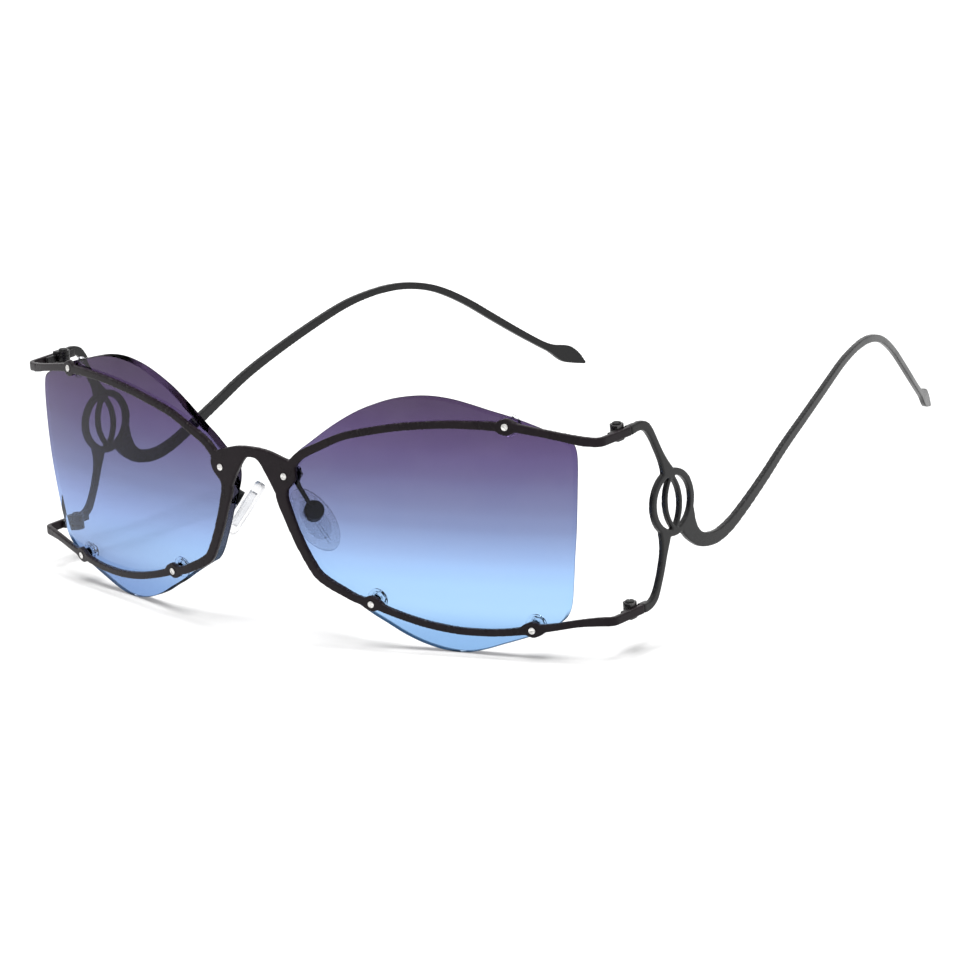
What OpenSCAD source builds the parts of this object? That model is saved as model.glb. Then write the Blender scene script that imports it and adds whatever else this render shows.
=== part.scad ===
// Rimless sunglasses. The wearer faces -Y, so the wearer's left is +X and the temples run to +Y.
// The front is drawn with its bridge at the origin and its lens mid-height at z = 0, and the
// whole is then set down with its lowest point on z = 0 and its footprint centred on the origin.

/* [Front] */
// Radius of the ball that the front's outer face lies on
front_radius = 187; // [150:1:260]
// Thickness of the front's sheet
sheet_t = 1.0; // [0.8:0.05:1.2]
// Distance from the middle to the outer face of an end piece
half_width = 72.9; // [71:0.1:76]
// Outer radius of the fold in an end piece
fold_r = 2.1; // [1.6:0.05:3]
// Length of an end piece from its fold to the line where the temple butts
end_l = 7.8; // [6.6:0.1:12]
// Distance of the upper end piece's middle below the lens's highest point
upper_end_down = 7.4; // [5.8:0.1:9]
// Distance of the lower end piece's middle above the lens's lowest point
lower_end_up = 7.8; // [6.3:0.1:9.2]
// Height of an end piece's strip
end_w = 1.7; // [1.4:0.05:2.2]
// Width of the bars over the lenses
bar_w = 1.45; // [1.2:0.05:1.8]
// Width of the nasal bars at their narrowest
nasal_w = 1.95; // [1.6:0.05:2.4]
// Height of the bridge's top above the lens mid-height
bridge_top = 12.3; // [12:0.1:14]
// Depth of the bridge's band at its middle
bridge_band = 2.0; // [1.6:0.05:2.4]
// Length of a screw lug along its bar
lug_l = 5.0; // [4:0.1:6]
// Height of a screw lug across its bar
lug_h = 3.2; // [2.8:0.1:3.8]

/* [Screw places] */
// Distance of the bridge screws inside the lens's nasal edge
bridge_screw_in = 2.3; // [1.9:0.1:2.9]
// Height of the bridge screws
bridge_screw_z = 7.4; // [7:0.1:8]
// Distance of the upper outer screws inside the lens's outer edge
upper_screw_in = 12.2; // [9.6:0.1:15.6]
// Distance of the upper outer screws below the lens's highest point
upper_screw_down = 4.8; // [4.6:0.1:5.4]
// Distance of the lower inner screws inside the lens's nasal edge
inner_screw_in = 19.6; // [18.3:0.1:21.3]
// Distance of the lower inner screws above the lens's lowest point
inner_screw_up = 8.8; // [8.3:0.1:9.4]
// Distance of the lower outer screws inside the lens's outer edge
lower_screw_in = 10.0; // [8.1:0.1:12.6]
// Distance of the lower outer screws above the lens's lowest point
lower_screw_up = 5.8; // [5.7:0.1:6.3]

/* [Lenses] */
// Thickness of a lens
lens_t = 1.8; // [1.4:0.1:2.4]
// Gap from a lens's outer edge to the outer face of the end piece
lens_side_gap = 5.3; // [4.6:0.1:6.5]
// Distance of a lens's nasal edge from the middle
lens_nasal_x = 5.7; // [5.4:0.1:6]
// Rise of the lens's upper hump above its mid-height
lens_rise = 24.6; // [23:0.1:28]
// Drop of the lens's lower hump below its mid-height
lens_drop = 24.7; // [23:0.1:28]

/* [Lens fasteners] */
// Radius of a screw's shank
screw_r = 0.5; // [0.4:0.05:0.6]
// Radius of a screw's head
head_r = 0.68; // [0.62:0.02:0.9]
// Height of a screw's head
head_h = 0.32; // [0.2:0.02:0.5]
// Wall of the sleeve round a screw
bush_t = 0.4; // [0.3:0.05:0.5]
// Radius of a washer behind a lens
washer_r = 2.1; // [1.8:0.05:2.2]
// Thickness of a washer behind a lens
washer_t = 0.4; // [0.3:0.05:0.6]
// Radius of a cap nut
nut_r = 1.5; // [1.2:0.05:1.7]
// Height of a cap nut
nut_h = 1.2; // [1:0.05:1.5]

/* [Hinges] */
// Radius of a hinge barrel
barrel_r = 1.3; // [1.1:0.05:1.5]
// Height of a hinge's three knuckles together
barrel_h = 3.0; // [2.7:0.1:3.6]
// Distance of the hinge axis in front of the butt line
axis_setback = 1.4; // [1.2:0.05:1.8]
// Radius of a hinge screw's shank
pin_r = 0.5; // [0.4:0.05:0.6]
// Radius of a hinge screw's head
pin_head_r = 0.85; // [0.7:0.05:1]
// Length of a hinge leaf's plate
leaf_l = 2.4; // [1.8:0.1:3]
// Thickness of a hinge leaf's plate
leaf_t = 0.7; // [0.55:0.05:0.9]
// Height of a hinge leaf's plate
leaf_h = 1.5; // [1.3:0.05:1.6]

/* [Temples] */
// Thickness of a temple's sheet
temple_t = 1.1; // [0.9:0.05:1.2]
// Radius of a temple's inward bow, seen from above
bow_r = 300; // [260:5:400]
// Distance behind the butt line at which the bow starts
bow_back = 8.7; // [5:0.1:13]
// Width of the upper arm
upper_arm_w = 1.6; // [1.3:0.05:2]
// Width of the lower arm
lower_arm_w = 1.45; // [1.2:0.05:1.9]
// Distance of the ring's middle behind the butt line
ring_back = 10.9; // [9.9:0.1:12.6]
// Height of the ring's middle above the lens mid-height
ring_rise = 0.7; // [0:0.1:1.4]
// Outer radius of the ring
ring_r = 6.45; // [6.1:0.05:6.8]
// Width of the ring's band
ring_band = 1.35; // [1.1:0.05:1.6]
// Width of the leaf outline inside the ring
motif_w = 5.2; // [4.4:0.1:6]
// Width of the band that draws the leaf outline
motif_band = 0.85; // [0.7:0.05:1.1]
// Depth of the lowest point of the temple's neck
neck_drop = 9.5; // [9:0.1:10.4]
// Width of the temple's neck at its lowest point
neck_w = 2.6; // [2.2:0.1:3]
// Width of the long arm at its arched top
arch_w = 1.5; // [1.3:0.05:1.9]
// Height of the arch's middle line above the lens mid-height
arch_rise = 11.5; // [10:0.1:13.5]
// Distance of the arch's top behind the butt line
arch_back = 88.6; // [84.6:0.5:94.6]
// Length of a temple from the butt line to its tip's end
temple_l = 132.3; // [127:0.1:139]
// Drop of the tip's end below the lens mid-height
tip_drop = 14.1; // [11:0.1:17]
// Width of the leaf-shaped tip
tip_w = 3.6; // [3:0.1:4.4]

/* [Nose pads] */
// Length of a nose pad
pad_l = 13.8; // [12:0.1:15]
// Width of a nose pad
pad_w = 7.2; // [6.6:0.1:7.6]
// Thickness of a nose pad
pad_t = 2.2; // [2:0.05:2.5]
// Distance of a pad's middle from the middle plane
pad_x = 9.0; // [8.6:0.1:9.8]
// Depth of a pad's middle behind the bridge
pad_y = 7.2; // [7.1:0.1:8.4]
// Drop of a pad's middle below the lens mid-height
pad_drop = 2.6; // [2:0.1:3.2]
// Lean of a pad's top towards the nose
pad_lean = 41; // [36:1:46]
// Turn of a pad's face from facing forwards
pad_turn = 62; // [58:1:67]
// Radius of the cup behind a pad
cup_r = 1.9; // [1.8:0.05:2.3]
// Depth of the cup behind a pad
cup_h = 1.9; // [1.8:0.05:2]
// Wall of the cup
cup_t = 0.45; // [0.35:0.05:0.5]
// Radius of the pad's cross screw
pad_pin_r = 0.35; // [0.3:0.02:0.42]
// Radius of a pad arm's wire
wire_r = 0.45; // [0.38:0.02:0.55]

/* [Hidden] */

// Roundness of small turned pieces and of the wide faces
$fn = 40;
wide_fn = 300;
// Straight pieces in each span of a smooth line
span_steps = 5;
// Play of a shaft in its hole, and the gap between faces that seat on each other
play = 0.03;
seat = 0.02;
// Gap between the front's rear face and the lens
lens_seat = 0.05;
// Gap where the temple butts on the end piece, and between knuckles
butt_gap = 0.05;
// Gap between a barrel and the strip beside it
barrel_gap = 0.1;
// Overlap that lets joined solids meet inside each other
bite = 0.2;
// How far a cut or an outline runs past the face that it cuts
over = 1;
// Longer than anything that a cut or an extrusion has to pass
past = 60;

lens_out_x = half_width - lens_side_gap;
upper_end_z = lens_rise - upper_end_down;
lower_end_z = lens_drop - lower_end_up;
bridge_screw = [lens_nasal_x + bridge_screw_in, bridge_screw_z];
upper_screw = [lens_out_x - upper_screw_in, lens_rise - upper_screw_down];
inner_screw = [lens_nasal_x + inner_screw_in, inner_screw_up - lens_drop];
lower_screw = [lens_out_x - lower_screw_in, lower_screw_up - lens_drop];
lens_screw_places = [bridge_screw, upper_screw, inner_screw, lower_screw];

// Depths of the stack behind the front's face
lens_front_d = sheet_t + lens_seat;
lens_rear_d = lens_front_d + lens_t;
washer_d = lens_rear_d + seat;
stack_d = washer_d + washer_t + seat;
eyelet_t = 0.6;
eyelet_r = 1.5;
nut_cap = 0.3;
slot_w = 0.2;
slot_d = 0.15;
bush_r = screw_r + play + bush_t;
lens_bore_r = bush_r + play;

// Where the fold in an end piece ends, and the line where the temples butt
fold_x = half_width - fold_r;

function wrap_r(level) = sqrt(front_radius * front_radius - level * level);

function fold_y(level) = front_radius - sqrt(pow(wrap_r(level) - fold_r, 2) - fold_x * fold_x);

butt_y = fold_y(upper_end_z) + end_l;

// Hinge axis
axis_x = half_width - sheet_t - barrel_gap - barrel_r;
axis_y = butt_y - axis_setback;
knuckle_h = barrel_h / 3;
pin_head_h = 0.35;

// Point on a smooth line, a share t of the way from p[1] to p[2]
function spline(p, t) =
  0.5 * (2 * p[1] + (p[2] - p[0]) * t
    + (2 * p[0] - 5 * p[1] + 4 * p[2] - p[3]) * t * t
    + (3 * p[1] - p[0] - 3 * p[2] + p[3]) * t * t * t);

// Smooth line through all the given points, which may carry a width as a third number
function smooth_open(points) =
  let (
    last = len(points) - 1,
    all = concat([2 * points[0] - points[1]], points, [2 * points[last] - points[last - 1]])
  )
  concat(
    [for (i = [0 : last - 1]) for (k = [0 : span_steps - 1])
      spline([all[i], all[i + 1], all[i + 2], all[i + 3]], k / span_steps)],
    [points[last]]
  );

function smooth_closed(points) =
  let (count = len(points))
  [for (i = [0 : count - 1]) for (k = [0 : span_steps - 1])
    spline([for (j = [0 : 3]) points[(i + j) % count]], k / span_steps)];

// Outline of a band along a line of [x, z, width] points
function band(path) =
  let (
    last = len(path) - 1,
    side = [for (i = [0 : last])
      let (d = path[min(i + 1, last)] - path[max(i - 1, 0)], l = norm([d[0], d[1]]))
      [-d[1], d[0]] / l * path[i][2] / 2]
  )
  concat(
    [for (i = [0 : last]) [path[i][0], path[i][1]] + side[i]],
    [for (i = [last : -1 : 0]) [path[i][0], path[i][1]] - side[i]]
  );

// A point given by its shares of the way from a to b, with a width where one is given
function on_way(a, b, s) =
  let (p = [a[0] + (b[0] - a[0]) * s[0], a[1] + (b[1] - a[1]) * s[1]])
  len(s) > 2 ? [p[0], p[1], s[2]] : p;

function way(a, b, shares) = [for (s = shares) on_way(a, b, s)];

function wide(p, w) = [p[0], p[1], w];

// Front outline, wearer's left half, as bars between the screws
upper_end = [half_width, upper_end_z];
lower_end = [half_width, -lower_end_z];

upper_bar = concat(
  [wide(bridge_screw, bar_w * 1.5)],
  way(bridge_screw, upper_screw, [
    [0.074, 0.33, bar_w * 1.2], [0.181, 0.535, bar_w * 1.1], [0.287, 0.709, bar_w],
    [0.401, 0.819, bar_w], [0.57, 0.937, bar_w], [0.781, 1.008, bar_w]
  ]),
  [wide(upper_screw, bar_w * 1.15)],
  way(upper_screw, upper_end, [
    [0.274, 0.241, bar_w], [0.571, 0.62, bar_w], [0.81, 0.93, end_w], [1.0, 1.0, end_w]
  ]),
  [[half_width + over, upper_end_z, end_w]]
);

nasal_bar = concat(
  [wide(bridge_screw, nasal_w * 1.5)],
  way(bridge_screw, inner_screw, [
    [-0.06, 0.163, nasal_w * 1.38], [0.03, 0.36, nasal_w * 1.13], [0.116, 0.515, nasal_w * 1.05],
    [0.185, 0.618, nasal_w], [0.26, 0.717, nasal_w], [0.347, 0.805, nasal_w],
    [0.491, 0.871, nasal_w * 0.97], [0.636, 0.918, nasal_w * 0.92], [0.809, 0.972, nasal_w * 0.85]
  ]),
  [wide(inner_screw, bar_w * 1.15)]
);

lower_bar = concat(
  [wide(inner_screw, bar_w * 1.15)],
  way(inner_screw, lower_screw, [
    [0.17, 0.58, bar_w], [0.359, 1.06, bar_w], [0.545, 1.32, bar_w], [0.703, 1.35, bar_w],
    [0.848, 1.25, bar_w]
  ]),
  [wide(lower_screw, bar_w * 1.15)],
  way(lower_screw, lower_end, [
    [0.30, 0.38, bar_w], [0.56, 0.76, bar_w], [0.815, 0.97, end_w], [1.0, 1.0, end_w]
  ]),
  [[half_width + over, -lower_end_z, end_w]]
);

// Bridge outline, half of it, from the top's middle round the plate to the arch's middle
bridge_crown = [0, bridge_top];
bridge_half = concat(
  [bridge_crown],
  way(bridge_crown, bridge_screw, [
    [0.28, 0.015], [0.56, 0.077], [0.9, 0.225], [1.12, 0.35], [1.29, 0.56], [1.345, 0.83],
    [1.31, 1.10], [1.19, 1.33], [1.05, 1.56], [0.93, 1.80], [0.74, 1.76], [0.64, 1.53],
    [0.5125, 1.17]
  ]),
  [[bridge_screw[0] * 0.33, bridge_top - 1.78 * bridge_band],
   [bridge_screw[0] * 0.17, bridge_top - 1.13 * bridge_band],
   [0, bridge_top - bridge_band]]
);

function reverse_of(points) = [for (i = [len(points) - 1 : -1 : 0]) points[i]];

function bridge_outline() =
  let (half = smooth_open(bridge_half), last = len(half) - 1)
  concat(half, reverse_of([for (i = [1 : last - 1]) [-half[i][0], half[i][1]]]));

// Lens outline in the lens's own frame: shares of its width, with heights as shares of the
// hump's rise or drop
function lens_shares() = [
  [0.051, 0.431], [0.090, 0.512], [0.130, 0.582], [0.209, 0.720], [0.282, 0.828], [0.347, 0.898],
  [0.415, 0.953], [0.484, 0.984], [0.546, 0.992], [0.611, 0.977], [0.672, 0.944], [0.734, 0.902],
  [0.806, 0.854], [0.884, 0.786], [0.951, 0.715], [0.986, 0.672], [0.998, 0.61], [1.0, 0.505],
  [0.997, 0.365], [0.991, 0.163], [0.984, -0.02], [0.974, -0.202], [0.963, -0.405],
  [0.952, -0.567], [0.937, -0.662], [0.914, -0.722], [0.870, -0.789], [0.794, -0.857],
  [0.728, -0.911], [0.669, -0.960], [0.609, -0.992], [0.547, -0.988], [0.479, -0.951],
  [0.413, -0.887], [0.350, -0.802], [0.301, -0.737], [0.240, -0.644], [0.166, -0.538],
  [0.130, -0.486], [0.103, -0.401], [0.079, -0.283], [0.057, -0.162], [0.037, -0.04],
  [0.016, 0.081], [0.0, 0.205], [0.001, 0.31], [0.020, 0.39]
];

lens_mid = [(lens_nasal_x + lens_out_x) / 2, 0];
lens_turn = asin(lens_mid[0] / front_radius);

// Distance along the lens's chord from its middle to the front's face at x
function chord_at(x) =
  let (
    y = front_radius - sqrt(front_radius * front_radius - x * x),
    mid_y = front_radius * (1 - cos(lens_turn))
  )
  (x - lens_mid[0]) * cos(lens_turn) + (y - mid_y) * sin(lens_turn);

function lens_outline() =
  let (nasal = chord_at(lens_nasal_x), width = chord_at(lens_out_x) - nasal)
  smooth_closed([for (s = lens_shares())
    [nasal + width * s[0], s[1] * (s[1] > 0 ? lens_rise : lens_drop)]]);

// Temple outline in side view, as [depth, height, width] points
ring_y = butt_y + ring_back;
ring_z = ring_rise;
ring_mid_r = ring_r - ring_band / 2;

function ring_point(angle) = [ring_y + ring_mid_r * cos(angle), ring_z + ring_mid_r * sin(angle)];

// The arms' bands run on into the ring's opening, where they are cut off with it
root_r = ring_r - 1.4 * ring_band;

function root_point(angle) = [ring_y + root_r * cos(angle), ring_z + root_r * sin(angle)];

upper_arm_end = ring_point(98);
upper_arm = concat(
  way([butt_y, upper_end_z], upper_arm_end, [[0, 0, end_w], [0.15, -0.02, end_w]]),
  way([butt_y, upper_end_z], upper_arm_end, [
    [0.306, -0.019, upper_arm_w * 1.1], [0.444, 0.033, upper_arm_w * 1.15],
    [0.542, 0.131, upper_arm_w * 1.05], [0.621, 0.252, upper_arm_w * 0.95],
    [0.7, 0.4, upper_arm_w * 0.92], [0.789, 0.57, upper_arm_w * 0.95],
    [0.878, 0.738, upper_arm_w * 1.15], [0.947, 0.878, upper_arm_w * 1.55],
    [1.0, 1.0, upper_arm_w * 2.1]
  ]),
  [wide(root_point(98), upper_arm_w * 2.5)]
);

lower_arm_end = ring_point(-118);
lower_arm = concat(
  way([butt_y, -lower_end_z], lower_arm_end, [[0, 0, end_w], [0.159, 0.004, end_w]]),
  way([butt_y, -lower_end_z], lower_arm_end, [
    [0.305, 0.028, lower_arm_w * 1.1], [0.439, 0.088, lower_arm_w * 1.1],
    [0.549, 0.185, lower_arm_w], [0.634, 0.29, lower_arm_w * 0.95],
    [0.707, 0.386, lower_arm_w * 0.95], [0.793, 0.523, lower_arm_w],
    [0.866, 0.652, lower_arm_w * 1.05], [0.927, 0.78, lower_arm_w * 1.35],
    [0.97, 0.89, lower_arm_w * 1.75], [1.0, 1.0, lower_arm_w * 2.3]
  ]),
  [wide(root_point(-112), lower_arm_w * 2.8)]
);

neck_back = 12.6;
neck_low = [ring_y + neck_back, -neck_drop];
arch_top = [butt_y + arch_back, arch_rise];
tip_end = [butt_y + temple_l, -tip_drop];

// The neck's web starts at the ring's side
web_half_w = neck_w * 0.92;
web_start = [ring_y + ring_mid_r - web_half_w, ring_z - ring_band / 2];

long_arm = concat(
  [wide(web_start, 2 * web_half_w), wide(ring_point(-48), neck_w * 1.88)],
  way(ring_point(-48), neck_low, [
    [0.08, 0.3, neck_w * 1.65], [0.244, 0.62, neck_w * 1.27], [0.51, 0.88, neck_w * 1.06]
  ]),
  [wide(neck_low, neck_w)],
  way(neck_low, arch_top, [
    [0.071, 0.04, neck_w * 0.96], [0.143, 0.125, neck_w * 0.9], [0.275, 0.31, neck_w * 0.82],
    [0.407, 0.503, neck_w * 0.76], [0.547, 0.667, neck_w * 0.72], [0.694, 0.822, neck_w * 0.68],
    [0.82, 0.94, arch_w * 1.1], [0.918, 0.99, arch_w]
  ]),
  [wide(arch_top, arch_w)],
  way(arch_top, tip_end, [
    [0.105, 0.02, arch_w], [0.21, 0.07, arch_w], [0.304, 0.147, arch_w], [0.418, 0.275, arch_w],
    [0.544, 0.445, arch_w], [0.67, 0.615, arch_w * 0.97], [0.775, 0.75, arch_w * 0.95],
    [0.838, 0.82, arch_w * 1.25], [0.905, 0.885, tip_w], [0.955, 0.94, tip_w * 0.72],
    [1.0, 1.0, tip_w * 0.12]
  ])
);

// Where the finished part stands: lowest point at z = 0, footprint centred
lens_floor = min([for (p = lens_outline()) p[1]]);
head_turn = asin(norm(bridge_screw) / front_radius);
front_y = front_radius - (front_radius + head_h) * cos(head_turn) - head_r * sin(head_turn);
rear_y = max([for (p = band(smooth_open(long_arm))) p[0]]);
stand = [0, -(front_y + rear_y) / 2, -lens_floor];

module placed() {
  translate(stand) children();
}

module on_right(side) {
  if (side == "left") children();
  else mirror([1, 0, 0]) children();
}

// Sets children square to the front's face at (x, z), depth behind it, with +Y into the lens
module on_front(place, depth) {
  rise = asin(place[1] / front_radius);
  turn = asin(place[0] / (front_radius * cos(rise)));
  translate([0, front_radius, 0])
    rotate([-rise, 0, turn])
      translate([0, depth - front_radius, 0])
        children();
}

module rod_y(r, l) {
  rotate([-90, 0, 0]) cylinder(r = r, h = l);
}

module lug_outline(place) {
  // a rounded diamond
  power = 1.45;
  translate(place)
    polygon([for (a = [0 : 15 : 345])
      [lug_l / 2 * sign(cos(a)) * pow(abs(cos(a)), 2 / power),
       lug_h / 2 * sign(sin(a)) * pow(abs(sin(a)), 2 / power)]]);
}

// Pushes one outline, drawn in x and z, right through from front to back
module through_y() {
  translate([0, past / 2, 0])
    rotate([90, 0, 0])
      linear_extrude(past) children();
}

module front_cutter() {
  through_y() polygon(bridge_outline());
  for (turn = [0, 1])
    mirror([turn, 0, 0]) {
      for (bar = [upper_bar, nasal_bar, lower_bar])
        through_y() polygon(band(smooth_open(bar)));
      for (place = [upper_screw, inner_screw, lower_screw])
        through_y() lug_outline(place);
    }
}

// Outline of an end piece seen from above: the end of the wrap at the strip's height, then a fold
wrap_steps = 3;
fold_steps = 8;

function sheet_side(inset, level) =
  let (
    wrap = wrap_r(level) - inset,
    back = fold_y(level),
    angle = atan2(fold_x, front_radius - back),
    small = fold_r - inset
  )
  concat(
    [for (k = [0 : wrap_steps]) let (a = wrap_start + (angle - wrap_start) * k / wrap_steps)
      [wrap * sin(a), front_radius - wrap * cos(a)]],
    [for (k = [1 : fold_steps]) let (a = angle + (90 - angle) * k / fold_steps)
      [fold_x + small * sin(a), back - small * cos(a)]],
    [[fold_x + small, butt_y]]
  );

// The wrap proper ends a little past the angle where the end pieces' outlines start
wrap_start = asin((fold_x - over) / front_radius);
wrap_end_x = front_radius * sin(wrap_start) + bite;

module sheet_plan_end(level) {
  polygon(concat(sheet_side(0, level), reverse_of(sheet_side(sheet_t, level))));
}

module wrap_shell(depth, t) {
  translate([0, front_radius, 0])
    difference() {
      sphere(r = front_radius - depth, $fn = wide_fn);
      sphere(r = front_radius - depth - t, $fn = wide_fn);
    }
}

module front_frame() {
  color([0.16, 0.14, 0.15])
    placed()
      difference() {
        intersection() {
          front_cutter();
          union() {
            intersection() {
              wrap_shell(0, sheet_t);
              translate([-wrap_end_x, -over, -past / 2])
                cube([2 * wrap_end_x, past / 2, past]);
            }
            for (turn = [0, 1])
              mirror([turn, 0, 0]) {
                linear_extrude(past / 2) sheet_plan_end(upper_end_z);
                translate([0, 0, -past / 2])
                  linear_extrude(past / 2) sheet_plan_end(lower_end_z);
              }
          }
        }
        for (turn = [0, 1])
          mirror([turn, 0, 0])
            for (place = lens_screw_places)
              on_front(place, -over) rod_y(screw_r + play, sheet_t + 2 * over);
      }
}

module lens(side) {
  color([0.5, 0.6, 0.85, 0.5])
    placed()
      on_right(side)
        difference() {
          intersection() {
            on_front(lens_mid, past / 2)
              rotate([90, 0, 0])
                linear_extrude(past) polygon(lens_outline());
            wrap_shell(lens_front_d, lens_t);
          }
          for (place = lens_screw_places)
            on_front(place, 0) rod_y(lens_bore_r, lens_rear_d + over);
        }
}

module lens_left() {
  lens("left");
}

module lens_right() {
  lens("right");
}

// The bridge screws also hold the pad arms' eyelets
function eyelet_under(place) = place == bridge_screw ? eyelet_t + seat : 0;

module at_each_lens_screw() {
  placed()
    for (turn = [0, 1])
      mirror([turn, 0, 0])
        for (place = lens_screw_places) {
          $extra = eyelet_under(place);
          on_front(place, 0) children();
        }
}

module lens_screws() {
  slot_turn = 35;
  color([0.8, 0.8, 0.8])
    at_each_lens_screw() {
      shank_l = stack_d + $extra + nut_h - nut_cap - seat;
      difference() {
        union() {
          translate([0, -head_h, 0]) rod_y(head_r, head_h - seat / 2);
          translate([0, -head_h / 2, 0]) rod_y(screw_r, shank_l + head_h / 2);
        }
        rotate([0, slot_turn, 0])
          translate([-head_r - over, -head_h - over, -slot_w / 2])
            cube([2 * (head_r + over), slot_d + over, slot_w]);
      }
    }
}

module lens_bushes() {
  color([0.1, 0.1, 0.1])
    at_each_lens_screw()
      translate([0, lens_front_d + seat, 0])
        difference() {
          rod_y(bush_r, lens_t - 2 * seat);
          translate([0, -over, 0]) rod_y(screw_r + play, lens_t + 2 * over);
        }
}

module lens_washers() {
  color([0.85, 0.88, 0.9])
    at_each_lens_screw()
      translate([0, washer_d, 0])
        difference() {
          rod_y(washer_r, washer_t);
          translate([0, -over, 0]) rod_y(screw_r + play, washer_t + 2 * over);
        }
}

module lens_nuts() {
  side_h = nut_h * 0.6;
  top_r = nut_r * 0.7;
  color([0.85, 0.88, 0.9])
    at_each_lens_screw()
      translate([0, stack_d + $extra, 0])
        difference() {
          union() {
            rod_y(nut_r, side_h);
            translate([0, side_h, 0])
              rotate([-90, 0, 0]) cylinder(r1 = nut_r, r2 = top_r, h = nut_h - side_h);
          }
          translate([0, -over, 0]) rod_y(screw_r + play, over + nut_h - nut_cap);
        }
}

// Hinge pieces are drawn round the axis, with the butt line towards +Y
module at_hinge(side, level) {
  placed()
    on_right(side)
      translate([axis_x, axis_y, level])
        children();
}

strip_x = half_width - sheet_t - axis_x - seat;
temple_x = half_width - temple_t - axis_x - seat;

module front_hinge(side, level) {
  plate_y = barrel_r + butt_gap;
  color([0.16, 0.14, 0.15])
    at_hinge(side, level)
      difference() {
        union() {
          translate([strip_x - leaf_t, -plate_y - leaf_l, -leaf_h / 2])
            cube([leaf_t, leaf_l, leaf_h]);
          for (up = [1, -1])
            translate([0, 0, up > 0 ? knuckle_h / 2 + butt_gap : -barrel_h / 2]) {
              cylinder(r = barrel_r, h = knuckle_h - butt_gap);
              translate([0, -plate_y - bite, 0])
                cube([strip_x, plate_y + bite, knuckle_h - butt_gap]);
            }
        }
        translate([0, 0, -barrel_h]) cylinder(r = pin_r + play, h = 2 * barrel_h);
      }
}

module temple_hinge(side, level) {
  plate_y = axis_setback + butt_gap;
  color([0.16, 0.14, 0.15])
    at_hinge(side, level)
      difference() {
        union() {
          translate([temple_x - leaf_t, plate_y, -leaf_h / 2]) cube([leaf_t, leaf_l, leaf_h]);
          translate([0, 0, -knuckle_h / 2 + butt_gap / 2]) {
            cylinder(r = barrel_r, h = knuckle_h - butt_gap);
            cube([temple_x, plate_y + bite, knuckle_h - butt_gap]);
          }
        }
        translate([0, 0, -barrel_h]) cylinder(r = pin_r + play, h = 2 * barrel_h);
      }
}

module front_hinge_upper_left() {
  front_hinge("left", upper_end_z);
}

module front_hinge_lower_left() {
  front_hinge("left", -lower_end_z);
}

module front_hinge_upper_right() {
  front_hinge("right", upper_end_z);
}

module front_hinge_lower_right() {
  front_hinge("right", -lower_end_z);
}

module temple_hinge_upper_left() {
  temple_hinge("left", upper_end_z);
}

module temple_hinge_lower_left() {
  temple_hinge("left", -lower_end_z);
}

module temple_hinge_upper_right() {
  temple_hinge("right", upper_end_z);
}

module temple_hinge_lower_right() {
  temple_hinge("right", -lower_end_z);
}

module hinge_screws() {
  color([0.8, 0.8, 0.8])
    for (side = ["left", "right"], level = [upper_end_z, -lower_end_z])
      at_hinge(side, level)
        difference() {
          union() {
            translate([0, 0, -barrel_h / 2]) cylinder(r = pin_r, h = barrel_h + pin_head_h / 2);
            translate([0, 0, barrel_h / 2 + seat]) cylinder(r = pin_head_r, h = pin_head_h);
          }
          translate([-pin_head_r - over, -slot_w / 2, barrel_h / 2 + seat + pin_head_h - slot_d])
            cube([2 * (pin_head_r + over), slot_w, over]);
        }
}

// Pushes one outline, drawn in y and z, through from the middle to past the temple
module through_x() {
  rotate([90, 0, 90]) linear_extrude(half_width + over) children();
}

module motif_leaf(inset) {
  half_w = motif_w / 2;
  half_h = ring_r - ring_band / 2;
  arc_r = (half_w * half_w + half_h * half_h) / (2 * half_w);
  intersection_for (turn = [-1, 1])
    translate([0, ring_y + turn * (arc_r - half_w), ring_z])
      rotate([0, 90, 0]) cylinder(r = arc_r - inset, h = half_width + over);
}

module ring_disc(r) {
  translate([0, ring_y, ring_z]) rotate([0, 90, 0]) cylinder(r = r, h = half_width + over);
}

module temple_cutter() {
  difference() {
    union() {
      for (arm = [upper_arm, lower_arm, long_arm])
        through_x() polygon(band(smooth_open(arm)));
      ring_disc(ring_r);
    }
    ring_disc(ring_r - ring_band);
  }
  difference() {
    motif_leaf(0);
    motif_leaf(motif_band);
  }
}

module temple_sheet() {
  translate([half_width - temple_t, butt_y + butt_gap, -past / 2])
    cube([temple_t, bow_back - butt_gap, past]);
  translate([half_width - bow_r, butt_y + bow_back, -past / 2])
    intersection() {
      difference() {
        cylinder(r = bow_r, h = past, $fn = wide_fn);
        translate([0, 0, -over])
          cylinder(r = bow_r - temple_t, h = past + 2 * over, $fn = wide_fn);
      }
      cube([bow_r + over, bow_r, past]);
    }
}

module temple(side) {
  color([0.2, 0.2, 0.2])
    placed()
      on_right(side)
        intersection() {
          temple_cutter();
          temple_sheet();
        }
}

module temple_left() {
  temple("left");
}

module temple_right() {
  temple("right");
}

// Nose pads are drawn with their length along Z and the cup's side facing -Y
cup_gap = 0.55;
cup_d = pad_t / 2 + cup_gap;
cup_rise = 0.9;
core_t = 0.8;
core_share = 0.62;
post_r = 0.55;
boss_r = 0.6;
boss_l = 1.5;
boss_gap = 0.15;
pad_pin_d = cup_d + cup_h - cup_t - boss_gap - boss_r;

module at_pad(side) {
  placed()
    on_right(side)
      pad_frame() children();
}

module pad_frame() {
  translate([pad_x, pad_y, -pad_drop])
    rotate([0, -pad_lean, 0])
      rotate([0, 0, pad_turn])
        children();
}

module egg(l, w) {
  // an oval with its wider end down
  taper = 0.12;
  polygon([for (a = [0 : 10 : 350]) [w / 2 * cos(a) * (1 - taper * sin(a)), l / 2 * sin(a)]]);
}

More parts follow.
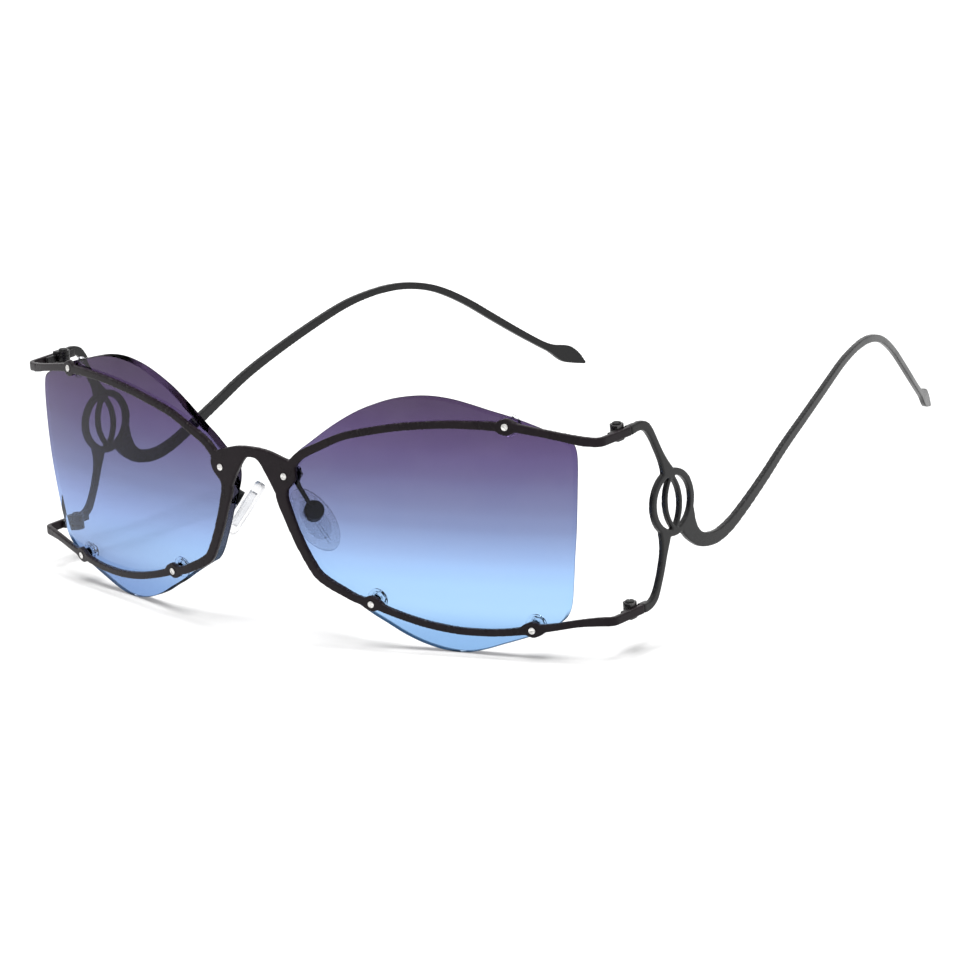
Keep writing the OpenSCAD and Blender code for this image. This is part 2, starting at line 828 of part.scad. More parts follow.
module pad_plate(l, w, t) {
  rotate([90, 0, 0])
    translate([0, 0, -t / 2])
      linear_extrude(t) egg(l, w);
}

module pad_core(grow) {
  pad_plate(pad_l * core_share + 2 * grow, pad_w * core_share + 2 * grow, core_t + 2 * grow);
  translate([0, -pad_pin_d, cup_rise]) rod_y(post_r + grow, pad_pin_d);
}

// Sets children on the pad's cross screw, with its length along Z
module on_pad_pin() {
  translate([0, -pad_pin_d, cup_rise]) rotate([0, 90, 0]) children();
}

module nose_pad(side) {
  // the face that lies on the nose is domed
  dome_r = 22;
  color([0.9, 0.92, 0.95, 0.6])
    at_pad(side)
      difference() {
        intersection() {
          pad_plate(pad_l, pad_w, pad_t);
          translate([0, pad_t / 2 - dome_r, 0]) sphere(r = dome_r, $fn = wide_fn);
        }
        pad_core(seat);
      }
}

module pad_insert(side) {
  color([0.88, 0.9, 0.93, 0.7])
    at_pad(side)
      difference() {
        union() {
          pad_core(0);
          on_pad_pin() cylinder(r = boss_r, h = boss_l, center = true);
        }
        on_pad_pin() cylinder(r = pad_pin_r + play, h = 2 * boss_l, center = true);
      }
}

module cup_body(r) {
  translate([0, -cup_d - cup_h, cup_rise]) rod_y(r, cup_h);
}

module pad_box(side) {
  color([0.12, 0.11, 0.12])
    at_pad(side)
      difference() {
        cup_body(cup_r);
        translate([0, cup_t, 0]) cup_body(cup_r - cup_t);
        on_pad_pin() cylinder(r = pad_pin_r + play, h = 3 * cup_r, center = true);
      }
}

module pad_screw(side) {
  pad_head_r = pad_pin_r * 1.7;
  pad_head_h = 0.3;
  pin_out = 0.15;
  color([0.8, 0.8, 0.8])
    at_pad(side)
      on_pad_pin() {
        cylinder(r = pad_pin_r, h = 2 * (cup_r + pin_out), center = true);
        translate([0, 0, -cup_r - pin_out - pad_head_h / 2])
          cylinder(r = pad_head_r, h = pad_head_h);
      }
}

// The arm is an eyelet behind the bridge screw, a tab on it, and a wire to the side of the cup
tab_w = 0.9;
tab_spare = 0.2;
tab_l = washer_r + wire_r + tab_spare;
tab_turn = 24;
eyelet_d = washer_d + washer_t + seat;

// Point behind the front's face at (x, z)
function behind(place, depth) =
  let (s = sqrt(front_radius * front_radius - place[0] * place[0] - place[1] * place[1]))
  [0, front_radius, 0]
    + (1 - depth / front_radius) * [place[0], -s, place[1]];

cup_dir = [
  sin(pad_turn) * cos(pad_lean),
  -cos(pad_turn),
  sin(pad_turn) * sin(pad_lean)
];
cup_up = [-sin(pad_lean), 0, cos(pad_lean)];
wire_share = 0.6;
cup_mid = [pad_x, pad_y, -pad_drop] + cup_rise * cup_up + (cup_d + wire_share * cup_h) * cup_dir;

module wire(a, b) {
  d = b - a;
  l = norm(d);
  translate(a)
    rotate([0, acos(d[2] / l), atan2(d[1], d[0])])
      cylinder(r = wire_r, h = l);
}

module pad_arm(side) {
  tab_end = behind(bridge_screw, eyelet_d + eyelet_t / 2)
    + tab_l * [sin(tab_turn), 0, -cos(tab_turn)];
  color([0.12, 0.11, 0.12])
    placed()
      on_right(side)
        difference() {
          union() {
            on_front(bridge_screw, eyelet_d) {
              rod_y(eyelet_r, eyelet_t);
              rotate([0, -tab_turn, 0])
                translate([-tab_w / 2, 0, -tab_l]) cube([tab_w, eyelet_t, tab_l]);
            }
            translate(tab_end) sphere(r = wire_r + seat);
            wire(tab_end, cup_mid);
          }
          on_front(bridge_screw, eyelet_d - over) rod_y(screw_r + play, eyelet_t + 2 * over);
          pad_frame() {
            cup_body(cup_r + seat);
            translate([0, -seat, 0]) cup_body(cup_r + seat);
          }
        }
}

module pad_arm_left() {
  pad_arm("left");
}

module pad_arm_right() {
  pad_arm("right");
}

module pad_box_left() {
  pad_box("left");
}

module pad_box_right() {
  pad_box("right");
}

module pad_screw_left() {
  pad_screw("left");
}

module pad_screw_right() {
  pad_screw("right");
}

module nose_pad_left() {
  nose_pad("left");
}

module nose_pad_right() {
  nose_pad("right");
}

module pad_insert_left() {
  pad_insert("left");
}

module pad_insert_right() {
  pad_insert("right");
}

front_frame();
lens_left();
lens_right();
lens_screws();
lens_bushes();
lens_washers();
lens_nuts();
pad_arm_left();
pad_arm_right();
pad_box_left();
pad_box_right();
pad_screw_left();
pad_screw_right();
nose_pad_left();
nose_pad_right();
pad_insert_left();
pad_insert_right();
front_hinge_upper_left();
front_hinge_lower_left();
front_hinge_upper_right();
front_hinge_lower_right();
hinge_screws();
temple_left();
temple_right();
temple_hinge_upper_left();
temple_hinge_lower_left();
temple_hinge_upper_right();
temple_hinge_lower_right();
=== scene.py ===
"""Rimless sunglasses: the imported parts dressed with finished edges, glass, metal and light."""

import logging
import math
from collections.abc import Callable
from dataclasses import dataclass
from enum import Enum

import bpy
from mathutils import Matrix, Vector


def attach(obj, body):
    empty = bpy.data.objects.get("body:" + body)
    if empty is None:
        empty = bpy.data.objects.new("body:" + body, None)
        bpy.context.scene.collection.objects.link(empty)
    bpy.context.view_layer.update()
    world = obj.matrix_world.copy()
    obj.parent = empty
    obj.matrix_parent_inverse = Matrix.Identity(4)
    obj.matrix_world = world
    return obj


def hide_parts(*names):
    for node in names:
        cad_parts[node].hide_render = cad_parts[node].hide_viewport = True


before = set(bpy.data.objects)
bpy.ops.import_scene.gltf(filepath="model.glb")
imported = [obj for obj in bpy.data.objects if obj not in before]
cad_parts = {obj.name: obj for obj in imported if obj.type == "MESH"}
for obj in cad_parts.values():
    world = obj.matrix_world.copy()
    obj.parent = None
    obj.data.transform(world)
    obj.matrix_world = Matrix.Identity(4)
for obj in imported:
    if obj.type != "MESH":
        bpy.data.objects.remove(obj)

log = logging.getLogger("sunglasses")

Object = bpy.types.Object
Material = bpy.types.Material
Node = bpy.types.Node
Socket = bpy.types.NodeSocket
RGB = tuple[float, float, float]
RGBA = tuple[float, float, float, float]
Point = tuple[float, float, float]
Range = tuple[float, float]
Outputs = bpy.types.NodeOutputs
# What feeds a node's input: a source socket or a plain value
Source = Socket | float | RGBA | Vector

MM = 0.001
# The front and the lenses lie on balls round this point
BALL_MIDDLE = Vector((0, 108.378, 24.566)) * MM
BALL_RADIUS = 187.0 * MM
# Places closer than this count as one
SAME = 0.001 * MM
# No vertex of a fastener is farther than this from its middle
FASTENER_REACH = 4 * MM
# Decimals of a metre that tell two fasteners apart in a sort
PLACE_DIGITS = 4
# Least share of a normal along a way for a face that counts as facing it
FACING = 0.9
WHITE: RGBA = (1.0, 1.0, 1.0, 1.0)


class Side(Enum):
    """The wearer's two sides."""

    LEFT = "left"
    RIGHT = "right"


class Slot(Enum):
    """Material slots of the record."""

    FRONT = "front_metal"
    TEMPLE = "temple_metal"
    HINGE = "hinge_metal"
    PAD_METAL = "pad_metal"
    SLEEVE = "sleeve_black"
    STEEL = "screw_steel"
    LENS = "lens_tint"
    CLEAR = "clear_plastic"
    SILICONE = "pad_silicone"
    CORE = "pad_core"


class Body(Enum):
    """Moving bodies of the model."""

    FRONT = "front"
    ARM_LEFT = "arm_left"
    ARM_RIGHT = "arm_right"
    PAD_LEFT = "pad_left"
    PAD_RIGHT = "pad_right"

    @staticmethod
    def arm(side: Side) -> "Body":
        """The temple's body on one side."""
        return Body(f"arm_{side.value}")

    @staticmethod
    def pad(side: Side) -> "Body":
        """The nose pad's body on one side."""
        return Body(f"pad_{side.value}")


# Modelling calls, used as by hand


def deselect() -> None:
    """Leaves edit mode and deselects every object."""
    if bpy.context.mode != "OBJECT":
        bpy.ops.object.mode_set(mode="OBJECT")
    bpy.ops.object.select_all(action="DESELECT")


def take(piece: Object) -> None:
    """Makes one piece the only selected object and the active one.

    Args:
        piece: The object to work on.
    """
    deselect()
    piece.select_set(True)
    bpy.context.view_layer.objects.active = piece


def edit_all(piece: Object) -> None:
    """Opens a piece in edit mode with all of its mesh selected.

    Args:
        piece: The object to work on.
    """
    take(piece)
    bpy.ops.object.mode_set(mode="EDIT")
    bpy.ops.mesh.select_all(action="SELECT")


def leave_edit() -> None:
    """Goes back to object mode."""
    bpy.ops.object.mode_set(mode="OBJECT")


def select(piece: Object, kind: str, wanted: Callable[..., bool]) -> None:
    """Selects the faces or vertices that pass a test, and stays in edit mode.

    Args:
        piece: The object, in edit mode.
        kind: FACE or VERT.
        wanted: Test that takes a face or a vertex.
    """
    bpy.ops.mesh.select_all(action="DESELECT")
    bpy.ops.mesh.select_mode(type=kind)
    leave_edit()
    for part in piece.data.polygons if kind == "FACE" else piece.data.vertices:
        part.select = wanted(part)
    bpy.ops.object.mode_set(mode="EDIT")


def modify(piece: Object, kind: str, **settings: object) -> None:
    """Adds a modifier and applies it.

    Args:
        piece: The object to work on.
        kind: Blender's name for the modifier type.
        settings: Values for the modifier's own settings.
    """
    take(piece)
    modifier = piece.modifiers.new(kind.title(), kind)
    for name, value in settings.items():
        setattr(modifier, name, value)
    bpy.ops.object.modifier_apply(modifier=modifier.name)


def round_edges(piece: Object, width: float, segments: int = 3, sharper: float = 50.0) -> None:
    """Bevels every edge that is sharper than an angle in degrees."""
    limit = {"limit_method": "ANGLE", "angle_limit": math.radians(sharper)}
    modify(piece, "BEVEL", width=width, segments=segments, **limit)


def smooth(piece: Object, degrees: float = 32.0) -> None:
    """Shades a piece smooth, with edges sharper than an angle kept crisp."""
    take(piece)
    bpy.ops.object.shade_smooth_by_angle(angle=math.radians(degrees))


def tumble(piece: Object, grain: float, passes: int) -> None:
    """Rounds all of a piece softly, as tumbling and a coat of enamel do.

    Args:
        piece: The object to work on.
        grain: Size of the new mesh's faces.
        passes: Number of smoothing passes.
    """
    modify(piece, "REMESH", mode="VOXEL", voxel_size=grain)
    modify(piece, "SMOOTH", factor=0.5, iterations=passes)
    smooth(piece, degrees=60)


def turn_out(piece: Object, merge: float = SAME) -> None:
    """Merges a piece's doubles and points every face outwards.

    Args:
        piece: The object to mend.
        merge: Distance under which vertices are joined.
    """
    edit_all(piece)
    bpy.ops.mesh.remove_doubles(threshold=merge)
    bpy.ops.mesh.normals_make_consistent(inside=False)
    leave_edit()


def put(piece: Object, place: Matrix) -> None:
    """Moves the mesh of a piece, drawn round the origin, to its place."""
    piece.data.transform(place)
    turn_out(piece)


def copy_of(piece: Object, name: str) -> Object:
    """A copy of a modelled piece with a mesh of its own.

    Args:
        piece: The piece to copy.
        name: The copy's name.

    Returns:
        The copy.
    """
    twin = piece.copy()
    twin.data = piece.data.copy()
    twin.name = twin.data.name = name
    bpy.context.scene.collection.objects.link(twin)
    return twin


def node_copy(node: str, name: str, merge: float = 0.002 * MM) -> Object:
    """A merged copy of a CAD node, ready to be finished.

    Args:
        node: The CAD node's name.
        name: The new piece's name.
        merge: Distance under which vertices are joined.

    Returns:
        The new object, with its mesh in place.
    """
    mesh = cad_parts[node].data.copy()
    mesh.materials.clear()
    piece = bpy.data.objects.new(name, mesh)
    mesh.name = name
    bpy.context.scene.collection.objects.link(piece)
    take(piece)
    bpy.ops.mesh.customdata_custom_splitnormals_clear()
    turn_out(piece, merge)
    return piece


def part_places(node: str) -> list[Vector]:
    """Middle of each separate solid in a CAD node, from the wearer's right to the left.

    Args:
        node: The CAD node's name.

    Returns:
        One point for each solid.
    """
    edit_all(node_copy(node, "probe"))
    bpy.ops.mesh.separate(type="LOOSE")
    leave_edit()
    places = []
    for part in list(bpy.context.selected_objects):
        points = [v.co for v in part.data.vertices]
        low = Vector([min(p[i] for p in points) for i in range(3)])
        high = Vector([max(p[i] for p in points) for i in range(3)])
        places.append((low + high) / 2)
        bpy.data.objects.remove(part)
    return sorted(places, key=lambda p: (round(p.x, PLACE_DIGITS), round(p.z, PLACE_DIGITS)))


def points_near(node: str, spot: Vector) -> list[Vector]:
    """A CAD node's vertices on the fastener whose middle is at a point."""
    points = [v.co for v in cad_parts[node].data.vertices]
    return [p for p in points if (p - spot).length < FASTENER_REACH]


def turned_bar(name: str, radius: float, length: float, sides: int) -> Object:
    """A round bar on +Z with its top at z = 0, still to be shaped.

    Args:
        name: The piece's name.
        radius: The bar's radius.
        length: The bar's length.
        sides: Number of sides.

    Returns:
        The new object.
    """
    deselect()
    bpy.ops.mesh.primitive_cylinder_add(
        vertices=sides, radius=radius, depth=length, location=(0, 0, -length / 2)
    )
    bar = bpy.context.object
    bar.name = bar.data.name = name
    bpy.ops.object.transform_apply(location=True, rotation=True, scale=True)
    return bar


def turn_profile(piece: Object, steps: list[Range]) -> None:
    """Carries a bar's top face on through a list of radii and heights, as on a lathe.

    Args:
        piece: The bar, with its flat round top face at z = 0.
        steps: New radius and height of the top face after each extrusion.
    """
    edit_all(piece)
    select(piece, "FACE", lambda f: f.normal.z > FACING and f.center.z > -SAME)
    face = next(f for f in piece.data.polygons if f.select)
    radius = piece.data.vertices[face.vertices[0]].co.xy.length
    height = 0.0
    for new_radius, new_height in steps:
        bpy.ops.mesh.extrude_region_move(
            TRANSFORM_OT_translate={"value": (0, 0, new_height - height)}
        )
        share = new_radius / radius
        bpy.ops.transform.resize(value=(share, share, 1), center_override=(0, 0, new_height))
        radius, height = new_radius, new_height
    leave_edit()


def dome(
    radius: float, low: float, high: float, turns: tuple[int, ...], flat: float
) -> list[Range]:
    """Lathe steps that round a head off from its rim to its top.

    Args:
        radius: The rim's radius.
        low: The rim's height.
        high: Height at a full quarter turn.
        turns: Turn of each step in degrees.
        flat: Share of the radius that stays flat.

    Returns:
        Radius and height of each step.
    """
    steps = []
    for angle in map(math.radians, turns):
        share = flat + (1 - flat) * math.cos(angle)
        steps.append((radius * share, low + (high - low) * math.sin(angle)))
    return steps


@dataclass(frozen=True)
class SlottedScrew:
    """A turned screw with a rounded, slotted head that seats at z = 0."""

    name: str
    shank_l: float
    head_r: float
    head_h: float
    rim_h: float
    seat_r: float
    seat_h: float
    turns: tuple[int, ...]
    slot_d: float
    flat: float = 0.0
    slot_w: float = 0.2 * MM
    shank_r: float = 0.5 * MM
    sides: int = 32

    def model(self) -> Object:
        """Turns the screw, then saws the slot across its head, along X.

        Returns:
            The screw, round the origin.
        """
        piece = turned_bar(self.name, self.shank_r, self.shank_l, self.sides)
        steps = [(self.seat_r, 0.0), (self.head_r, self.seat_h), (self.head_r, self.rim_h)]
        steps += dome(self.head_r, self.rim_h, self.head_h, self.turns, self.flat)
        turn_profile(piece, steps)
        deselect()
        bpy.ops.mesh.primitive_cube_add(size=1, location=(0, 0, self.head_h))
        saw = bpy.context.object
        across = 4 * self.head_r
        saw.scale = (across, self.slot_w, 2 * self.slot_d)
        bpy.ops.object.transform_apply(location=True, rotation=True, scale=True)
        modify(piece, "BOOLEAN", operation="DIFFERENCE", object=saw, solver="EXACT")
        bpy.data.objects.remove(saw)
        return piece


# Shader groups


class Sheet:
    """A node tree being wired, with short calls for its nodes and links."""

    def __init__(self, tree: bpy.types.NodeTree) -> None:
        """Takes the tree to wire."""
        self.tree = tree

    def node(self, kind: str, inputs: dict | None = None, **settings: object) -> Node:
        """Adds a node.

        Args:
            kind: The node's type, without its ShaderNode prefix.
            inputs: Values or source sockets for its inputs, by name or number.
            settings: Values for its own settings.

        Returns:
            The new node.
        """
        node = self.tree.nodes.new(f"ShaderNode{kind}")
        for name, value in settings.items():
            setattr(node, name, value)
        for key, value in (inputs or {}).items():
            self.feed(node.inputs[key], value)
        return node

    def feed(self, socket: Socket, value: Source) -> None:
        """Links a source socket to an input, or sets the input's plain value.

        Args:
            socket: The input.
            value: The source socket or the plain value.
        """
        if isinstance(value, Socket):
            self.tree.links.new(value, socket)
        else:
            socket.default_value = value

    def spot(self) -> Socket:
        """The place on the piece, in Object coordinates."""
        return self.node("TexCoord").outputs["Object"]

    def axis(self, vector: Socket, number: int) -> Socket:
        """One part of a vector: 0 for X, 1 for Y, 2 for Z."""
        return self.node("SeparateXYZ", {0: vector}).outputs[number]

    def math(self, operation: str, a: Source, b: Source = 0.0, clamp: bool = False) -> Socket:
        """Result of a Math node on one or two values or sockets."""
        node = self.node("Math", {0: a, 1: b}, operation=operation, use_clamp=clamp)
        return node.outputs[0]

    def blend(self, share: Source, a: Source, b: Source, how: str = "MIX") -> Socket:
        """A colour between two colours or sockets, by a share from 0 to 1."""
        node = self.node("Mix", {0: share, 6: a, 7: b}, data_type="RGBA", blend_type=how)
        return node.outputs[2]

    def times(self, a: Source, b: Source) -> Socket:
        """One colour multiplied by another."""
        return self.blend(1.0, a, b, "MULTIPLY")

    def share(self, value: Source, low: Source, high: Source) -> Socket:
        """How far a value is on its way between two bounds, from 0 to 1."""
        return self.node("MapRange", {0: value, 1: low, 2: high, 3: 0.0, 4: 1.0}).outputs[0]

    def span(self, value: Source, bounds: Range, ends: Range = (0.0, 1.0)) -> Socket:
        """A value eased from its bounds to two other ends and kept between them."""
        inputs = {0: value, 1: bounds[0], 2: bounds[1], 3: ends[0], 4: ends[1]}
        return self.node("MapRange", inputs, interpolation_type="SMOOTHSTEP").outputs[0]

    def ease(self, share: Source, ends: Range) -> Socket:
        """A value that eases from one end to the other as a share goes from 0 to 1."""
        return self.span(share, (0.0, 1.0), ends)

    def noise(self, size: Source, detail: float, roughness: float = 0.5) -> Socket:
        """Noise on the object's own coordinates.

        Args:
            size: Size of its spots.
            detail: Number of finer layers.
            roughness: Strength of each finer layer.

        Returns:
            The noise, round 0.5.
        """
        scale = self.math("DIVIDE", 1.0, size)
        inputs = {"Vector": self.spot(), "Scale": scale, "Detail": detail, "Roughness": roughness}
        return self.node("TexNoise", inputs).outputs[0]


class Group:
    """A shader node group that is built once and placed in many materials."""

    name = ""
    takes: dict[str, float] = {}
    gives: tuple[str, ...] = ()

    def tree(self) -> bpy.types.NodeTree:
        """The group's tree, built at the first call.

        Returns:
            The node group.
        """
        found = bpy.data.node_groups.get(self.name)
        if found is not None:
            return found
        tree = bpy.data.node_groups.new(self.name, "ShaderNodeTree")
        for name, value in self.takes.items():
            socket = tree.interface.new_socket(name, in_out="INPUT", socket_type="NodeSocketFloat")
            socket.default_value = value
        for name in self.gives:
            tree.interface.new_socket(name, in_out="OUTPUT", socket_type="NodeSocketFloat")
        start = tree.nodes.new("NodeGroupInput")
        end = tree.nodes.new("NodeGroupOutput")
        for name, socket in self.wire(Sheet(tree), start.outputs).items():
            tree.links.new(socket, end.inputs[name])
        return tree

    def wire(self, sheet: Sheet, takes: Outputs) -> dict[str, Socket]:
        """Wires the group's tree from its inputs to its results, by name."""
        raise NotImplementedError

    def place(self, sheet: Sheet, **values: float) -> Node:
        """Puts the group into a material.

        Args:
            sheet: The material's tree.
            values: Values for the group's inputs, with _ for a space.

        Returns:
            The group node.
        """
        node = sheet.tree.nodes.new("ShaderNodeGroup")
        node.node_tree = self.tree()
        for name, value in values.items():
            sheet.feed(node.inputs[name.replace("_", " ")], value)
        return node


class Grain(Group):
    """Fine tooth of a surface, with a slow mottle over it."""

    name = "surface_grain"
    takes = {"Tooth Size": 0.1 * MM, "Mottle Size": 3 * MM}
    gives = ("Height", "Mottle")

    def wire(self, sheet: Sheet, takes: Outputs) -> dict[str, Socket]:
        """Wires two sizes of noise.

        Args:
            sheet: The group's tree.
            takes: Its inputs.

        Returns:
            The tooth's height and the mottle.
        """
        slow = sheet.noise(takes["Mottle Size"], detail=4.0, roughness=0.55)
        fine = sheet.noise(takes["Tooth Size"], detail=3.0, roughness=0.6)
        return {"Height": fine, "Mottle": sheet.span(slow, bounds=(0.35, 0.65))}


class EdgeWear(Group):
    """Thin worn lines along the outward edges of a piece."""

    name = "edge_wear"
    takes = {"Start": 0.52, "Full": 0.6, "Patch Size": 2 * MM}
    gives = ("Mask",)

    def wire(self, sheet: Sheet, takes: Outputs) -> dict[str, Socket]:
        """Wires pointiness broken up by noise.

        Args:
            sheet: The group's tree.
            takes: Its inputs.

        Returns:
            The mask.
        """
        sharp = sheet.node("NewGeometry").outputs["Pointiness"]
        edge = sheet.share(sharp, takes["Start"], takes["Full"])
        noise = sheet.noise(takes["Patch Size"], detail=5.0)
        patch = sheet.span(noise, bounds=(0.4, 0.62), ends=(0.15, 1.0))
        return {"Mask": sheet.math("MULTIPLY", edge, patch, clamp=True)}


class Dust(Group):
    """A few specks and a faint film on faces that look up."""

    name = "settled_dust"
    takes = {"Speck Size": 0.6 * MM, "Amount": 0.2}
    gives = ("Mask",)

    def wire(self, sheet: Sheet, takes: Outputs) -> dict[str, Socket]:
        """Wires noise kept to upward faces.

        Args:
            sheet: The group's tree.
            takes: Its inputs.

        Returns:
            The mask.
        """
        up = sheet.axis(sheet.node("NewGeometry").outputs["Normal"], 2)
        facing = sheet.span(up, bounds=(0.0, 0.9), ends=(0.1, 1.0))
        speck = sheet.span(sheet.noise(takes["Speck Size"], detail=6.0), bounds=(0.5, 0.75))
        mask = sheet.math("MULTIPLY", speck, facing)
        return {"Mask": sheet.math("MULTIPLY", mask, takes["Amount"], clamp=True)}


# Finishes


def solid(colour: RGB, share: float = 1.0) -> RGBA:
    """A colour, or a darker share of it, with full alpha."""
    return (*(c * share for c in colour), 1.0)


class Coat(Sheet):
    """The node tree of a new material, with its Principled shader."""

    def __init__(self, name: str) -> None:
        """Makes an empty node material.

        Args:
            name: The material's name.
        """
        self.material = bpy.data.materials.new(name)
        self.material.use_nodes = True
        self.material.node_tree.nodes.clear()
        super().__init__(self.material.node_tree)
        self.shader = self.node("BsdfPrincipled")
        self.end = self.node("OutputMaterial", {"Surface": self.shader.outputs[0]})

    def give(self, **values: Source) -> None:
        """Links or sets the shader's inputs, named with _ for a space."""
        for name, value in values.items():
            self.feed(self.shader.inputs[name.replace("_", " ")], value)

    def raise_tooth(self, grain: Node, strength: float, height: float) -> None:
        """Raises the grain's tooth a little on the surface."""
        inputs = {"Strength": strength, "Distance": height, "Height": grain.outputs["Height"]}
        self.give(Normal=self.node("Bump", inputs).outputs[0])

    def make_glass(self, ior: float, passing: Source) -> None:
        """Makes the shader glass that lamps and sky light pass, without a black shadow.

        Args:
            ior: Refractive index.
            passing: Colour that the passing light takes.
        """
        self.give(Transmission_Weight=1.0, IOR=ior)
        rays = self.node("LightPath").outputs
        either = self.math("MAXIMUM", rays["Is Shadow Ray"], rays["Is Diffuse Ray"])
        clear = self.node("BsdfTransparent", {"Color": passing})
        shaders = {0: either, 1: self.shader.outputs[0], 2: clear.outputs[0]}
        self.feed(self.end.inputs["Surface"], self.node("MixShader", shaders).outputs[0])


@dataclass(frozen=True)
class Enamel:
    """Satin enamel baked on stamped metal, worn thin on its edges."""

    name: str
    colour: RGB
    rough: Range
    ior: float
    wear: float = 0.25
    worn: RGB = (0.35, 0.34, 0.34)
    edges: Range = (0.53, 0.62)
    chip: float = 1.5 * MM
    dust: RGB = (0.3, 0.29, 0.28)
    dusty: float = 0.12
    deep: float = 0.75
    tooth: float = 0.08 * MM
    mottle: float = 4 * MM
    relief: float = 0.0012 * MM
    relief_share: float = 0.5

    def material(self) -> Material:
        """Builds the finish.

        Returns:
            The material.
        """
        coat = Coat(self.name)
        grain = Grain().place(coat, Tooth_Size=self.tooth, Mottle_Size=self.mottle)
        mottle = grain.outputs["Mottle"]
        start, full = self.edges
        wear = EdgeWear().place(coat, Start=start, Full=full, Patch_Size=self.chip)
        worn = coat.math("MULTIPLY", wear.outputs["Mask"], self.wear)
        dust = Dust().place(coat, Amount=self.dusty).outputs["Mask"]
        base = coat.blend(mottle, solid(self.colour, self.deep), solid(self.colour))
        base = coat.blend(worn, base, solid(self.worn))
        base = coat.blend(dust, base, solid(self.dust))
        rough = coat.math("ADD", coat.ease(mottle, self.rough), dust)
        coat.give(Base_Color=base, Roughness=rough, Metallic=worn, IOR=self.ior)
        coat.raise_tooth(grain, self.relief_share, self.relief)
        return coat.material


@dataclass(frozen=True)
class TurnedSteel:
    """Steel with the lathe's fine tooth and a little grime."""

    name: str
    colour: RGB = (0.82, 0.81, 0.79)
    rough: Range = (0.32, 0.16)
    deep: float = 0.6
    edges: Range = (0.5, 0.6)
    chip: float = 0.5 * MM
    tooth: float = 0.05 * MM
    mottle: float = 0.5 * MM
    relief: float = 0.002 * MM
    relief_share: float = 0.4

    def material(self) -> Material:
        """Builds the finish.

        Returns:
            The material.
        """
        coat = Coat(self.name)
        grain = Grain().place(coat, Tooth_Size=self.tooth, Mottle_Size=self.mottle)
        mottle = grain.outputs["Mottle"]
        start, full = self.edges
        wear = EdgeWear().place(coat, Start=start, Full=full, Patch_Size=self.chip)
        base = coat.blend(mottle, solid(self.colour, self.deep), solid(self.colour))
        base = coat.blend(wear.outputs["Mask"], base, solid(self.colour))
        coat.give(Base_Color=base, Roughness=coat.ease(mottle, self.rough), Metallic=1.0)
        coat.raise_tooth(grain, self.relief_share, self.relief)
        return coat.material


@dataclass(frozen=True)
class FadingTint:
    """Lens tint that fades from a plum grey brow to a pale blue foot, deeper on the slant, with
    painted shade just at the foot.
    """

    name: str
    foot_z: float
    brow_z: float
    stops: tuple[tuple[float, RGB], ...]
    ior: float = 1.22
    slant: Range = (0.13, 0.63)
    slant_foot: RGB = (0.6, 0.54, 0.7)
    slant_brow: RGB = (0.46, 0.37, 0.43)
    streak: RGB = (0.5, 0.5, 0.52)
    clean: Range = (0.985, 1.0)
    tooth: float = 0.3 * MM
    mottle: float = 9 * MM
    speck: float = 0.8 * MM
    dusty: float = 0.05
    shade: RGB = (0.97, 0.97, 0.98)

    def tint(self, sheet: Sheet) -> tuple[Socket, Socket]:
        """Wires the tint by height.

        Args:
            sheet: The material's sheet.

        Returns:
            The share of the lens height and the tint there.
        """
        share = sheet.share(sheet.axis(sheet.spot(), 2), self.foot_z, self.brow_z)
        ramp = sheet.node("ValToRGB", {0: share})
        ramp.color_ramp.interpolation = "CARDINAL"
        points = ramp.color_ramp.elements
        while len(points) < len(self.stops):
            points.new(0.5)
        for point, (place, colour) in zip(points, self.stops):
            point.position = place
            point.color = solid(colour)
        return share, ramp.outputs[0]

    def material(self) -> Material:
        """Builds the finish of the two faces.

        Returns:
            The material.
        """
        coat = Coat(self.name)
        share, tint = self.tint(coat)
        grain = Grain().place(coat, Tooth_Size=self.tooth, Mottle_Size=self.mottle)
        dust = Dust().place(coat, Speck_Size=self.speck, Amount=self.dusty)
        clean = coat.ease(grain.outputs["Mottle"], self.clean)
        tint = coat.blend(clean, solid(self.streak), tint)
        facing = coat.node("LayerWeight", {"Blend": 0.5}).outputs["Facing"]
        longer = coat.blend(share, solid(self.slant_foot), solid(self.slant_brow))
        tint = coat.times(tint, coat.blend(coat.span(facing, self.slant), WHITE, longer))
        coat.give(Base_Color=tint, Roughness=dust.outputs["Mask"])
        coat.make_glass(self.ior, solid(self.shade))
        return coat.material


